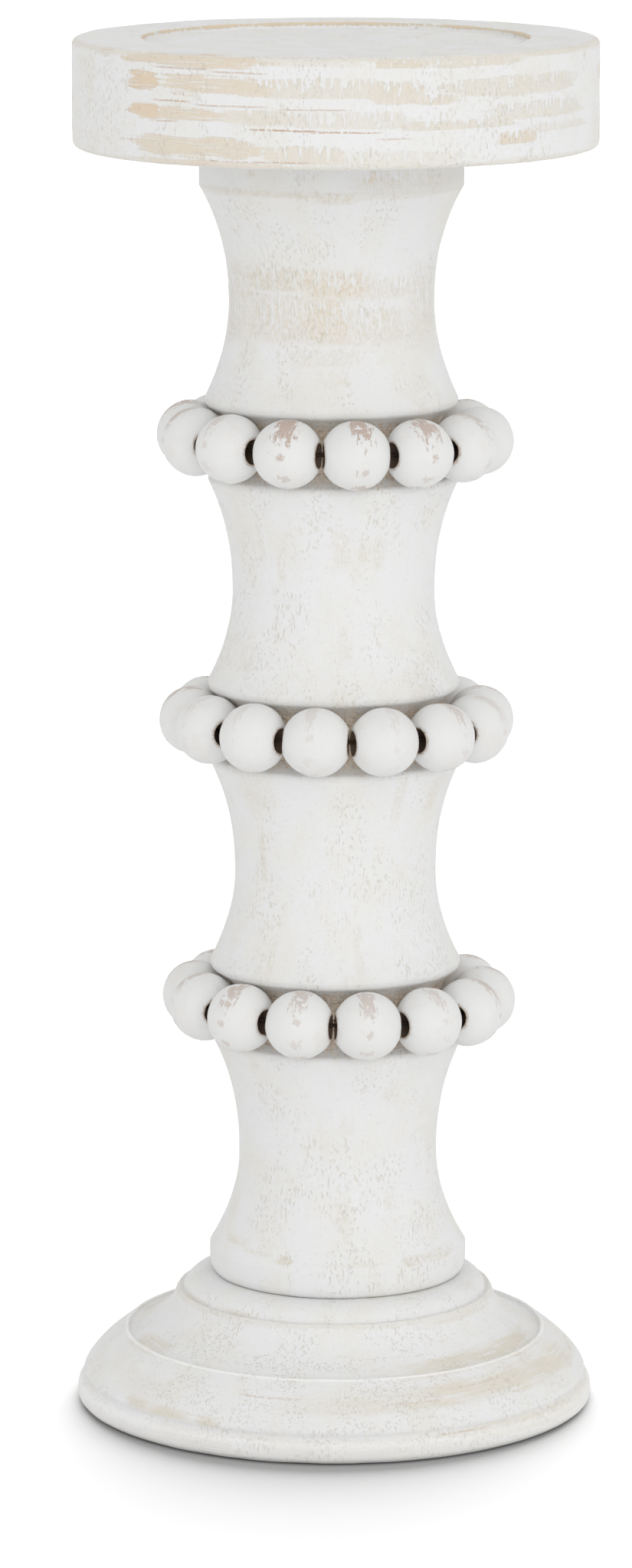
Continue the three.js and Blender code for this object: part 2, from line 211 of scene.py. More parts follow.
def whitewash(name, axis, worn, scratches=(), arrises=(), coves=(), rough=(), painted_highlights=(),
              upright_from=-180, inside=0, soft=0.35, flecked=0.6):
    """White paint over beige primer on a piece turned about an upright axis.

    worn: (angle, height, half width, half height, depth, tint) of each rubbed place, in degrees
    from the front and mm; scratches: (height, from, to, depth); arrises: (radius, height, reach,
    depth); coves: the heights of the middles of the coves, deep in which the colour turns warm
    cream flecked with brown; rough: pitted places, as in worn; painted highlights, whiter lines
    that stand in for light on raised edges and bands: as in arrises. Brush marks run round about
    before the upright_from angle and upright after it, nothing is rubbed within the inside
    radius, soft is how gently the rubbed places end, and flecked is how much paint is left in
    them.
    """
    material, shader, point = new_finish(name)
    x, y, z = point.parts()
    across = x - axis
    turn = across.math("ARCTAN2", y * -1) * DEGREES
    radius = (across * across + y * y) ** 0.5 / MM
    height = z / MM

    cloud = point.noise(11 * MM, upright=1.4, detail=3)
    ticks = point.noise(0.8 * MM, upright=5, detail=3)
    brush = point.noise(0.4 * MM, upright=16, detail=1)
    lathe = point.noise(0.28 * MM, around=90, detail=1)
    crumbs = point.noise(0.7 * MM, upright=1.5, detail=3)

    strokes = point.noise(1.1 * MM, around=11, detail=2)
    upright = turn.rise(upright_from - 14, upright_from + 14)
    hanging = ticks.rise(0.42, 0.7) * upright * 2.2 + (brush - 0.5) * upright * 0.8
    ends = (strokes - 0.5) * (3.6 - upright * 2.2) + (crumbs - 0.5) * (1.4 - soft)
    ragged = ends + (cloud - 0.5) * 0.9
    swept = point.noise(0.4 * MM, around=28, detail=1).rise(0.56, 0.66) * (1 - upright)
    covered = swept.most(brush.rise(0.5, 0.75) * upright)
    rubbed = 0.0
    tint = 0.0
    for angle, level, wide, tall, depth, warmth in worn:
        aside = (turn - angle) / wide
        upward = (height - level) / tall
        reach = (aside ** 4 + upward ** 4) ** 0.25 + ragged * 0.5
        patch = (1 - reach.most(upward + hanging - 0.3).rise(1 - soft, 1 + soft)) * depth
        tint = (patch * warmth).most(tint)
        rubbed = patch.most(rubbed)
    if inside:
        rubbed = rubbed * radius.rise(inside - 1.5, inside + 1)
    rubbed = rubbed * (1 - covered * 0.6) * (1 - (1 - crumbs.rise(0.42, 0.6)) * flecked)
    for edge_radius, edge_height, reach, depth in arrises:
        away = ((radius - edge_radius) ** 2 + (height - edge_height) ** 2) ** 0.5
        rim = 1 - (away / reach + (crumbs - 0.5) * 2.5 + (cloud - 0.5) * 3).rise(0.5, 1.1)
        tint = (rim * (depth * 0.5)).most(tint)
        rubbed = (rim * depth).most(rubbed)

    drift = (cloud - 0.5) * 0.8 + (crumbs - 0.5) * 0.35
    scratch = 0.0
    for level, start, end, depth in scratches:
        line = 1 - abs(height - level - drift).rise(0.08, 0.3)
        span = turn.between(start, end, 1.5)
        scratch = (line * span * (crumbs + ticks * 0.5).rise(0.5, 0.8) * depth).most(scratch)

    pitted = point.noise(9 * MM, upright=1.6, detail=2).rise(0.4, 0.62)
    for angle, level, wide, tall, depth in rough:
        reach = (((turn - angle) / wide) ** 4 + ((height - level) / tall) ** 4) ** 0.25
        pitted = ((1 - (reach + ragged).rise(0.6, 1.3)) * depth).most(pitted)
    pits = point.noise(0.55 * MM, upright=2.6, detail=1).rise(0.56, 0.72) * pitted
    pin = point.noise(0.5 * MM, upright=1.3, detail=1).rise(0.7, 0.76)

    colour = ((cloud + (ticks - 0.5) * 0.35).rise(0.42, 0.72)).blend(WHITE_PAINT, WARM_PAINT)
    colour = (pits * 0.6 + pin * 0.35).blend(colour, PIT)
    undercoat = tint.rise(0.1, 0.8).blend(PALE_BEIGE, TAN)
    colour = rubbed.blend(colour, undercoat)
    if scratches:
        colour = scratch.blend(colour, SCRATCH)
    # Painted highlights: whiter paint along the given lines, standing in for the light that
    # catches them.
    for highlight_radius, highlight_height, reach, depth in painted_highlights:
        away = ((radius - highlight_radius) ** 2 + (height - highlight_height) ** 2) ** 0.5
        line = (1 - (away / reach + (crumbs - 0.5)).rise(0.6, 1.1)) * depth
        colour = line.blend(colour, HIGHLIGHT_WHITE)
    surface = brush * 0.22 + lathe * 0.18 + ticks * 0.25 - pits * 0.55 - pin * 0.3 - rubbed * 0.5
    for middle in coves:
        # Deep in each cove the colour turns warm cream, flecked with darker brown.
        deep_in_cove = 1 - (abs(height - middle) + (ticks - 0.5) * 9 + (crumbs - 0.5) * 3).rise(4.6, 8.2)
        wood = (crumbs + lathe * 0.6).rise(0.6, 1.1).blend(COVE_CREAM, COVE_BROWN)
        colour = deep_in_cove.blend(colour, wood)
        surface = surface - deep_in_cove * 0.4

    join(colour, shader, "Base Color")
    join(0.62 + crumbs * 0.2 + rubbed * 0.1, shader, "Roughness")
    shader.inputs["Specular IOR Level"].default_value = 0.3
    bump = surface.node("Bump", {"Height": surface, "Distance": 0.2 * MM, "Strength": 1.0})
    join(bump, shader, "Normal")
    return material


def arc(centre, across, up, start, end, steps):
    """Points of an elliptical arc round a (radius, height) centre; 0 degrees is outwards."""
    turns = [math.radians(start + (end - start) * n / steps) for n in range(steps + 1)]
    return [(centre[0] + across * math.cos(t), centre[1] + up * math.sin(t)) for t in turns]


def straight(start, end, steps):
    return [tuple(Vector(start).lerp(Vector(end), n / steps)) for n in range(steps + 1)]


def turned(name, outline, axis, sides):
    """Draws an outline of (radius, height) points in mm and spins it about the upright axis."""
    bpy.ops.object.select_all(action="DESELECT")
    radius, height = outline[0]
    bpy.ops.mesh.primitive_plane_add(size=MM, location=(axis + radius * MM, 0, height * MM))
    piece = bpy.context.object
    piece.name = name
    piece.data.name = name
    bpy.ops.object.transform_apply(location=True, rotation=True, scale=True)
    bpy.ops.object.mode_set(mode="EDIT")
    bpy.ops.mesh.merge(type="CENTER")
    for (radius, height), (next_radius, next_height) in zip(outline, outline[1:]):
        step = ((next_radius - radius) * MM, 0, (next_height - height) * MM)
        bpy.ops.mesh.extrude_vertices_move(TRANSFORM_OT_translate={"value": step})
    bpy.ops.mesh.select_all(action="SELECT")
    bpy.ops.mesh.spin(steps=sides, angle=2 * math.pi, center=(axis, 0, 0), axis=(0, 0, 1))
    bpy.ops.mesh.select_all(action="SELECT")
    bpy.ops.mesh.remove_doubles(threshold=0.002 * MM)
    bpy.ops.mesh.normals_make_consistent(inside=False)
    bpy.ops.object.mode_set(mode="OBJECT")
    bpy.ops.object.shade_smooth_by_angle(angle=math.radians(38))
    return piece


def uneven(piece, size, height, stretch=1.0):
    """Gives a painted surface the slight lumps of hand work, longer upright by the stretch."""
    bpy.ops.object.empty_add()
    guide = bpy.context.object
    guide.scale = (1, 1, stretch)
    lumps = bpy.data.textures.new("lumps", "CLOUDS")
    lumps.noise_scale = size
    lumps.noise_depth = 2
    bpy.ops.object.select_all(action="DESELECT")
    bpy.context.view_layer.objects.active = piece
    piece.select_set(True)
    modifier = piece.modifiers.new("lumps", "DISPLACE")
    modifier.texture = lumps
    modifier.texture_coords = "OBJECT"
    modifier.texture_coords_object = guide
    modifier.strength = height
    modifier.mid_level = 0.5
    bpy.ops.object.modifier_apply(modifier=modifier.name)
    bpy.data.objects.remove(guide)


def settle(piece, body, slot, material, *nodes):
    """Finishes a piece: its material, the body it moves with, and the nodes it stands for."""
    piece.data.materials.append(material)
    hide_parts(*nodes)
    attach(piece, body)


foot_low, foot_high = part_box("foot")
foot_radius = foot_high.x / MM
foot_top = foot_high.z / MM
WIDEST_AT = 1.75
UNDERSIDE_RADIUS = 58
ARRIS = (49.5, 16.85)
STEP = (37, 26.4)
STEP_TOP_RADIUS = 28.9
PILOT_RADIUS = 2.7
COUNTERBORE = (5.5, 7)
DOME_HANDLES = {"rise": 7.3, "out": 3.6, "drop": 2.5}
HOLLOW_START = {"in": 1.5, "drop": 0.35}
HOLLOW_HANDLES = {"in": 7.3, "rise": 1.7, "out": 1.2, "drop": 4.4}
HOLLOW_END = {"out": 0.3, "drop": 0.5}
RIDGE_RADIUS = 0.5
TURNED_LINE = {"height": 5.9, "width": 0.95, "depth": 0.85}
FOOT_SIDES = 400


def bezier(points, steps):
    ends = [Vector(p) for p in points]
    return [tuple(p) for p in interpolate_bezier(*ends, steps + 1)]


def line_cut(height):
    """How deep the turned line round the dome is at that height."""
    away = (height - TURNED_LINE["height"]) / TURNED_LINE["width"]
    return TURNED_LINE["depth"] * math.exp(-away ** 2)


dome = bezier([(foot_radius, WIDEST_AT), (foot_radius, WIDEST_AT + DOME_HANDLES["rise"]),
               (ARRIS[0] + DOME_HANDLES["out"], ARRIS[1] - DOME_HANDLES["drop"]), ARRIS], 44)
dome = [(radius - line_cut(height), height) for radius, height in dome]
ridge = arc((ARRIS[0] - RIDGE_RADIUS, ARRIS[1] - 0.1), RIDGE_RADIUS, RIDGE_RADIUS, 15, 165, 8)
hollow = bezier([(ARRIS[0] - HOLLOW_START["in"], ARRIS[1] - HOLLOW_START["drop"]),
                 (ARRIS[0] - HOLLOW_HANDLES["in"], ARRIS[1] + HOLLOW_HANDLES["rise"]),
                 (STEP[0] + HOLLOW_HANDLES["out"], STEP[1] - HOLLOW_HANDLES["drop"]),
                 (STEP[0] + HOLLOW_END["out"], STEP[1] - HOLLOW_END["drop"])], 36)
foot_outline = [
    (COUNTERBORE[0], 0),
    *straight((COUNTERBORE[0], 0), (UNDERSIDE_RADIUS, 0), 12),
    *arc((UNDERSIDE_RADIUS, WIDEST_AT), foot_radius - UNDERSIDE_RADIUS, WIDEST_AT, -90, 0, 8),
    *dome[1:-1],
    *ridge,
    *hollow,
    *arc((STEP[0] - 0.5, STEP[1] - 0.2), 0.5, 0.6, 0, 120, 5),
    *arc((STEP_TOP_RADIUS, STEP[1] - 0.4), STEP[0] - 1.3 - STEP_TOP_RADIUS,
         foot_top - STEP[1] + 0.4, 8, 90, 16),
    *straight((STEP_TOP_RADIUS, foot_top), (PILOT_RADIUS, foot_top), 10)[1:],
    (PILOT_RADIUS, COUNTERBORE[1]),
    (COUNTERBORE[0], COUNTERBORE[1]),
    (COUNTERBORE[0], 0),
]
foot = turned("painted_foot", foot_outline, 0, FOOT_SIDES)
uneven(foot, 9 * MM, 0.22 * MM)

# It stands flat, so no lump goes below its underside.
for vertex in foot.data.vertices:
    vertex.co.z = max(vertex.co.z, 0)
foot_worn = [
    (52, 17.7, 30, 0.92, 0.8, 0.23),
    (50, 13.2, 36, 1.95, 0.74, 0.3),
    (6, 12.3, 15, 1.38, 0.46, 0.15),
    (56, 4.4, 29, 1.72, 0.69, 0.28),
    (-51, 8.1, 3.5, 1.03, 0.8, 0.17),
    (-41, 7.9, 5.5, 0.92, 0.8, 0.17),
    (-30, 7.8, 2.6, 0.92, 0.8, 0.15),
    (-32, 3.4, 9, 1.72, 0.55, 0.2),
    (-66, 17.3, 8, 0.8, 0.59, 0.2),
    (-68, 26.9, 9, 0.57, 0.46, 0.2),
    (-39, 27.1, 6, 0.57, 0.5, 0.25),
    (50, 25.2, 17, 0.69, 0.5, 0.12),
    (8, 3.2, 34, 2.18, 0.34, 0.1),
    (-50, 11.5, 9, 2.07, 0.3, 0.15),
    (130, 13, 25, 1.61, 0.59, 0.25),
    (-140, 12.5, 30, 1.49, 0.5, 0.2),
    (160, 5, 18, 1.49, 0.59, 0.25),
    (-115, 17.7, 16, 0.8, 0.59, 0.2),
    (-160, 27, 14, 0.57, 0.5, 0.25),
]
foot_scratches = [
    (13.7, -24, -8, 0.35),
    (14.2, 30, 44, 0.3),
    (5.6, 24, 36, 0.45),
    (12.6, 14, 26, 0.3),
]
foot_rough = [
    (-5, 18.9, 26, 1.3, 1.0),
    (32, 22.5, 12, 1.6, 0.8),
    (14, 8.4, 20, 1.3, 0.9),
    (-14, 9.4, 9, 1.0, 0.6),
    (-150, 19, 22, 1.3, 0.9),
    (120, 9, 24, 1.4, 0.8),
]
foot_arrises = [(foot_radius, 1.4, 1.2, 0.3), (STEP[0], STEP[1], 0.9, 0.3)]
# Painted highlights: whiter paint along the raised line, and a whiter band round the bottom of the
# rim, standing in for light.
foot_painted_highlights = [
    (ARRIS[0] - 0.4, ARRIS[1] + 0.3, 0.6, 0.6),
    (foot_radius, 2.6, 3.2, 0.5),
]
foot_paint = whitewash("foot_paint", 0, foot_worn, foot_scratches, foot_arrises,
                       rough=foot_rough, painted_highlights=foot_painted_highlights,
                       upright_from=200, soft=0.6, flecked=0.2)
settle(foot, "root", "foot_paint", foot_paint, "foot")
shading_the_floor.objects.link(foot)


# Spools: four hollow-sided pieces of turned wood, stacked and glued on hidden dowels. They meet
# half way up the three coves that the bead strings lie in, which are cream flecked with brown.
COVES = [96.0, 162.2, 228.4]
COVE_RADIUS = 9.3
STRING_RADIUS = 33.5
FIT_GAP = 0.3
LIP_RADIUS = 29.2
RIM_RADIUS = 28.9
ROUNDING = 1.4
EDGE_START = 0.7
EDGE_HANDLES = {"cove": 0.45, "side": 0.5}
WAIST_RADII = [23.15, 23.4, 23.4, 23.65]
WAIST_SHARE = 0.45
FLARE_ABOVE = 2.25
FLARE_BELOW = 1.93
TOP_BAND = (30.4, 8.6)
LOW_BAND = (30.1, 6.7)
LOW_BAND_ROUND = 4
LOW_EDGE_RADIUS = 28.4
SOCKET_RADIUS = 5.5
SOCKET_DEPTH = 15
PILOT_DEPTH = 24
PAINTED_JOINT = 0.05
SPOOL_SIDES = 256
SIDE_STEPS = 84


def hollow_side(bottom, top, waist_radius):
    """The side of a spool, from its (radius, height) lower edge to its upper one."""
    waist = bottom[1] + WAIST_SHARE * (top[1] - bottom[1])
    points = []
    for _, height in straight(bottom, top, SIDE_STEPS):
        below = height < waist
        end = bottom if below else top
        share = (height - waist) / (end[1] - waist)
        flare = share ** (FLARE_BELOW if below else FLARE_ABOVE)
        points.append((waist_radius + flare * (end[0] - waist_radius), height))
    return points


def cove_reach(radius):
    """How far round its cove, in degrees from the deepest place, that radius is."""
    return math.degrees(math.acos((STRING_RADIUS - radius) / COVE_RADIUS))


def cove_rise(radius):
    return COVE_RADIUS * math.sin(math.radians(cove_reach(radius)))


def cove_under(middle):
    """The lower end of a spool: a dowel socket, then the upper half of a cove."""
    bottom = middle + FIT_GAP / 2
    edge = LIP_RADIUS - EDGE_START
    edge_height = middle + cove_rise(edge)
    lip_height = middle + cove_rise(LIP_RADIUS)
    return [
        (0, bottom + SOCKET_DEPTH),
        (SOCKET_RADIUS, bottom + SOCKET_DEPTH),
        (SOCKET_RADIUS, bottom),
        *straight((SOCKET_RADIUS, bottom), (STRING_RADIUS - COVE_RADIUS, bottom), 8)[1:-1],
        *arc((STRING_RADIUS, middle), COVE_RADIUS, COVE_RADIUS, 179, 180 - cove_reach(edge), 22),
        *bezier([(edge, edge_height),
                 (LIP_RADIUS, edge_height + EDGE_HANDLES["cove"]),
                 (LIP_RADIUS, lip_height + EDGE_HANDLES["side"]),
                 (LIP_RADIUS, lip_height + ROUNDING)], 7)[1:-1],
    ]


def cove_over(middle):
    """The upper end of a spool: the lower half of a cove, then a dowel socket."""
    top = middle - FIT_GAP / 2
    edge = RIM_RADIUS - EDGE_START
    edge_height = middle - cove_rise(edge)
    rim_height = middle - cove_rise(RIM_RADIUS)
    return [
        *bezier([(RIM_RADIUS, rim_height - ROUNDING),
                 (RIM_RADIUS, rim_height - EDGE_HANDLES["side"]),
                 (RIM_RADIUS, edge_height - EDGE_HANDLES["cove"]),
                 (edge, edge_height)], 7)[1:-1],
        *arc((STRING_RADIUS, middle), COVE_RADIUS, COVE_RADIUS, 180 + cove_reach(edge), 181, 22),
        *straight((STRING_RADIUS - COVE_RADIUS, top), (SOCKET_RADIUS, top), 8)[1:],
        (SOCKET_RADIUS, top - SOCKET_DEPTH),
        (0, top - SOCKET_DEPTH),
    ]


# Paint closes all but a hair of the glue line above the foot.
column_base = foot_top + PAINTED_JOINT
column_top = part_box("spool_top")[1].z / MM
rims = [(RIM_RADIUS, cove - cove_rise(RIM_RADIUS) - ROUNDING) for cove in COVES]
lips = [(LIP_RADIUS, cove + cove_rise(LIP_RADIUS) + ROUNDING) for cove in COVES]
bottom_outline = [
    (0, column_base + PILOT_DEPTH),
    (PILOT_RADIUS, column_base + PILOT_DEPTH),
    (PILOT_RADIUS, column_base),
    *straight((PILOT_RADIUS, column_base), (LOW_EDGE_RADIUS, column_base), 10)[1:],
    *arc((LOW_EDGE_RADIUS, column_base + LOW_BAND_ROUND), LOW_BAND[0] - LOW_EDGE_RADIUS,
         LOW_BAND_ROUND, -90, 0, 10)[1:],
    *straight((LOW_BAND[0], column_base + LOW_BAND_ROUND),
              (LOW_BAND[0], column_base + LOW_BAND[1]), 5)[1:-1],
    *hollow_side((LOW_BAND[0], column_base + LOW_BAND[1]), rims[0], WAIST_RADII[0]),
    *cove_over(COVES[0]),
]
lower_outline = [
    *cove_under(COVES[0]),
    *hollow_side(lips[0], rims[1], WAIST_RADII[1]),
    *cove_over(COVES[1]),
]
upper_outline = [
    *cove_under(COVES[1]),
    *hollow_side(lips[1], rims[2], WAIST_RADII[2]),
    *cove_over(COVES[2]),
]
top_outline = [
    *cove_under(COVES[2]),
    *hollow_side(lips[2], (TOP_BAND[0], column_top - TOP_BAND[1]), WAIST_RADII[3]),
    *straight((TOP_BAND[0], column_top - TOP_BAND[1]), (TOP_BAND[0], column_top), 14)[1:],
    *straight((TOP_BAND[0], column_top), (SOCKET_RADIUS, column_top), 10)[1:],
    (SOCKET_RADIUS, column_top - SOCKET_DEPTH),
    (0, column_top - SOCKET_DEPTH),
]
bottom_worn = [
    (-58, 41.4, 10, 0.9, 0.6, 0.3),
    (-42, 40.0, 8, 0.5, 0.4, 0.3),
    (-25, 39.4, 4, 1.0, 0.85, 0.35),
    (6, 38.9, 14, 0.5, 0.35, 0.2),
    (36, 38.6, 5, 1.1, 0.85, 0.25),
    (52, 38.7, 12, 1.2, 0.6, 0.25),
    (2, 50.5, 4, 4, 0.4, 0.3),
    (30, 53, 3, 2.4, 0.35, 0.2),
    (5, 71, 4, 2.5, 0.3, 0.3),
    (30, 79, 5, 3, 0.3, 0.15),
    (-120, 56, 16, 7, 0.4, 0.3),
    (140, 68, 14, 6, 0.4, 0.3),
    (-165, 39, 12, 1, 0.6, 0.3),
    (110, 39, 20, 1, 0.5, 0.3),
]
lower_worn = [
    (-42, 150, 12, 6, 0.3, 0.05),
    (-45, 134, 2.2, 6.5, 0.65, 0.25),
    (33, 148, 3, 6, 0.4, 0.15),
    (58, 148, 5, 5, 0.4, 0.5),
    (12, 113, 2.5, 6, 0.4, 0.3),
    (-33, 109, 1.8, 6, 0.4, 0.3),
    (120, 132, 14, 8, 0.45, 0.3),
    (-110, 120, 12, 7, 0.4, 0.3),
    (170, 118, 8, 8, 0.4, 0.4),
]
upper_worn = [
    (5, 206, 5, 4.5, 0.45, 0.35),
    (16, 206, 3, 3, 0.45, 0.35),
    (25, 205, 3.5, 4, 0.45, 0.3),
    (-30, 202, 2.5, 4, 0.5, 0.5),
    (-42, 208, 1.8, 6, 0.4, 0.3),
    (6, 184, 4, 4, 0.35, 0.3),
    (-33, 187, 2, 3, 0.35, 0.4),
    (46, 174, 9, 5, 0.45, 0.3),
    (-50, 180, 6, 3, 0.4, 0.25),
    (5, 172, 6, 2.5, 0.4, 0.3),
    (-130, 200, 16, 9, 0.4, 0.35),
    (120, 190, 14, 8, 0.4, 0.3),
    (-170, 180, 7, 5, 0.4, 0.3),
]
top_worn = [
    (-37, 292, 2.4, 1.1, 0.6, 0.5),
    (-34, 287.6, 27, 0.8, 0.6, 0.1),
    (1, 286.8, 9, 1.4, 0.8, 0.1),
    (18, 291.5, 5, 1.8, 0.7, 0.6),
    (40, 290.5, 30, 2.6, 0.5, 0.2),
    (-30, 267.5, 26, 3.0, 0.7, 0.35),
    (2, 266.5, 20, 3.6, 0.85, 0.5),
    (34, 265.5, 18, 2.4, 0.6, 0.3),
    (-28, 259, 28, 5.5, 0.65, 0.35),
    (-2, 258.5, 14, 5.6, 0.8, 0.5),
    (22, 257, 22, 4.5, 0.6, 0.3),
    (-66, 262, 14, 9, 0.6, 0.1),
    (62, 260, 16, 9, 0.55, 0.1),
    (-4, 250, 20, 2.2, 0.4, 0.25),
    (0, 245.5, 9, 2.2, 0.3, 0.25),
    (45, 236, 5, 4, 0.5, 0.4),
    (130, 264, 26, 9, 0.6, 0.4),
    (-140, 258, 22, 8, 0.6, 0.4),
    (150, 288, 24, 1.2, 0.6, 0.3),
]

# Each spool's name, outline, worn places, coves and worn arrises, from the foot upwards.
SPOOLS = [
    ("bottom", bottom_outline, bottom_worn, COVES[:1], []),
    ("lower", lower_outline, lower_worn, COVES[:2], []),
    ("upper", upper_outline, upper_worn, COVES[1:], []),
    ("top", top_outline, top_worn, COVES[2:], [(TOP_BAND[0], column_top - TOP_BAND[1], 0.9, 0.3)]),
]
for level, outline, worn, coves, arrises in SPOOLS:
    node = "spool_" + level
    node_low, node_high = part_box(node)
    spool_axis = (node_low.x + node_high.x) / 2
    spool = turned("painted_spool_" + level, outline, spool_axis, SPOOL_SIDES)
    uneven(spool, 8 * MM, 0.16 * MM, stretch=1.5)
    uneven(spool, 1.6 * MM, 0.07 * MM, stretch=4)
    spool_paint = whitewash("spool_paint_" + level, spool_axis, worn, arrises=arrises,
                            coves=coves)
    settle(spool, "root", "spool_paint", spool_paint, node)


# Bead strings: thirteen wooden beads on a dark twisted cord in each cove, tied behind. The beads
# are drilled wide, painted white and rubbed through to pinkish wood round their middles.
BEADS = 13
BEAD_RADIUS = 7.9
BEAD_HALF = 7.45
BEAD_END_RADIUS = 3.1
BEAD_SIDES = 48
BORE_RADIUS = 2.75
BORE_BEVEL = (0.1, 0.25)
INNER_RELIEF = 0.6
BEAD_PITCH = 26.45

# Each string's name, the x of its middle, how far its front and its left side are lifted, and
# where its first bead is, in mm and degrees.
STRINGS = [
    ("lower", 1.0, 1.3, 0.8, -147.6),
    ("middle", 0.7, 1.3, 0.7, -140.4),
    ("upper", 0.0, 1.0, 0.8, -124.0),
]

full_half = BEAD_HALF / math.sqrt(1 - (BEAD_END_RADIUS / BEAD_RADIUS) ** 2)
cut = math.degrees(math.asin(BEAD_HALF / full_half))
bulge = arc((0, 0), BEAD_RADIUS, full_half, -cut, cut, 28)
bead_outline = [
    (BORE_RADIUS, -BEAD_HALF + BORE_BEVEL[1]),
    (BORE_RADIUS + BORE_BEVEL[0], -BEAD_HALF),
    *bulge,
    (BORE_RADIUS + BORE_BEVEL[0], BEAD_HALF),
    *straight((BORE_RADIUS, BEAD_HALF - BORE_BEVEL[1]),
              (BORE_RADIUS, -BEAD_HALF + BORE_BEVEL[1]), 6),
]
first_bead = turned("first_bead", bead_outline, 0, BEAD_SIDES)
first_bead.data.transform(Matrix.Rotation(math.radians(90), 4, "Y"))

# The ends are worn by their neighbours on the inside of the ring, where the string is tightest.
for vertex in first_bead.data.vertices:
    vertex.co.x *= 1 - INNER_RELIEF * max(0, vertex.co.y) / MM / STRING_RADIUS


BEAD_WHITE = shade(219, 219, 218)
BEAD_CREAM = shade(214, 211, 206)
RUBBED_WOOD = shade(186, 169, 159)
RIM_WOOD = shade(196, 182, 168)
BORE_BROWN = shade(132, 112, 96)

# Small rubbed spots round a bead's middle: (angle up from the outside, half width in mm, half
# height in degrees, depth).
BEAD_SPOTS = [
    (42, 1.0, 8, 0.7),
    (6, 0.9, 7, 0.75),
    (-34, 1.5, 10, 0.55),
    (-74, 2.1, 12, 0.65),
    (160, 2.2, 24, 0.8),
    (-130, 1.6, 18, 0.7),
]


def own_noise(inside, number, along, round_about, drift, detail):
    """Noise that differs from bead to bead, with features of those sizes in mm."""
    pace = (1 / along / MM, 1 / round_about / MM, 1 / round_about / MM)
    place = inside.node("VectorMath", {0: inside, 1: pace}, operation="MULTIPLY")
    away = number.node("CombineXYZ", {n: number * d for n, d in enumerate(drift)})
    place = place.node("VectorMath", {0: place, 1: away}, operation="ADD")
    return place.node("TexNoise", {"Vector": place, "Scale": 1.0, "Detail": detail})


def bead_finish():
    """White paint on a bead, rubbed through at its crown and in a broken line of spots."""
    material, shader, point = new_finish("bead_paint")
    inside = point.node("Attribute", {}, output=1, attribute_name="in_bead")
    number = point.node("Attribute", {}, output=2, attribute_name="bead_number")
    wear = point.node("Attribute", {}, output=2, attribute_name="bead_wear")
    along, out, up = inside.parts()
    around = (out * out + up * up) ** 0.5 / MM
    turn = up.math("ARCTAN2", out * -1) * DEGREES
    aside = along / MM - (number * 1.7).math("SINE") * 1.1

    cloud = point.noise(5 * MM, detail=3)
    crumbs = point.noise(0.6 * MM, detail=3)
    strokes = own_noise(inside, number, 0.45, 2.6, drift=(7.3, 3.1, 5.7), detail=2.0)
    islands = own_noise(inside, number, 2.1, 2.1, drift=(1.3, 2.3, 0.9), detail=1.0)

    sway = (number * 2.9).math("SINE") * 9
    ragged = (strokes - 0.5) * 2.8 + (crumbs - 0.5) * 1.4
    rubbed = 0.0
    for angle, wide, tall, depth in BEAD_SPOTS:
        reach = ((aside / wide) ** 2 + ((turn - angle - sway) / tall) ** 2) ** 0.5
        spot = (1 - (reach + ragged).rise(0.6, 1.2)) * depth
        rubbed = spot.most(rubbed)
    reach = ((aside / (0.8 + wear * 1.6)) ** 4 + ((turn - 66 - sway * 0.6) / 36) ** 4) ** 0.25
    crown = 1 - (reach + ragged * 0.9).rise(0.7, 1.1)
    rubbed = (rubbed * islands.rise(0.4, 0.52)).most(crown * islands.rise(0.3, 0.42)) * wear

    dirt = (cloud + (crumbs - 0.5) * 0.4).rise(0.5, 0.75) * 0.5
    colour = dirt.blend(BEAD_WHITE, BEAD_CREAM)
    colour = rubbed.blend(colour, RUBBED_WOOD)
    rim = 1 - (around + (crumbs - 0.5) * 1.3 + (cloud - 0.5) * 0.8).rise(2.9, 3.5)
    colour = rim.blend(colour, RIM_WOOD)
    bore = 1 - (around + (crumbs - 0.5) * 0.5).rise(2.8, 3.05)
    colour = bore.blend(colour, BORE_BROWN)
    join(colour, shader, "Base Color")
    join(0.5 + crumbs * 0.2 + rubbed * 0.25, shader, "Roughness")
    shader.inputs["Specular IOR Level"].default_value = 0.35
    surface = crumbs * 0.25 - rubbed * 0.5 - rim * 0.6
    join(surface.node("Bump", {"Height": surface, "Distance": 0.12 * MM}), shader, "Normal")
    return material


bead_paint = bead_finish()
DARK_THREAD = shade(48, 36, 28)
LIGHT_THREAD = shade(92, 74, 58)


def cord_finish():
    """Dark twisted thread, mottled with lighter brown in fine flecks."""
    material, shader, point = new_finish("cord_thread")
    fuzz = point.noise(0.25 * MM, detail=3)
    join(fuzz.rise(0.35, 0.7).blend(DARK_THREAD, LIGHT_THREAD), shader, "Base Color")
    join(0.8 + fuzz * 0.2, shader, "Roughness")
    join(fuzz.node("Bump", {"Height": fuzz, "Distance": 0.08 * MM}), shader, "Normal")
    return material


cord_thread = cord_finish()

# How worn each bead is, from a string's first bead to its last.
WEAR = {
    "lower": [0.5, 0.6, 0.5, 0.6, 0.7, 0.6, 0.6, 0.4, 0.6, 0.5, 0.6, 0.5, 0.6],
    "middle": [0.4, 0.5, 0.6, 0.2, 0.2, 0.3, 0.2, 0.5, 0.3, 0.5, 0.6, 0.5, 0.4],
    "upper": [0.8, 0.7, 0.6, 0.4, 1.0, 1.0, 0.9, 0.5, 0.4, 0.6, 0.7, 0.8, 0.6],
}

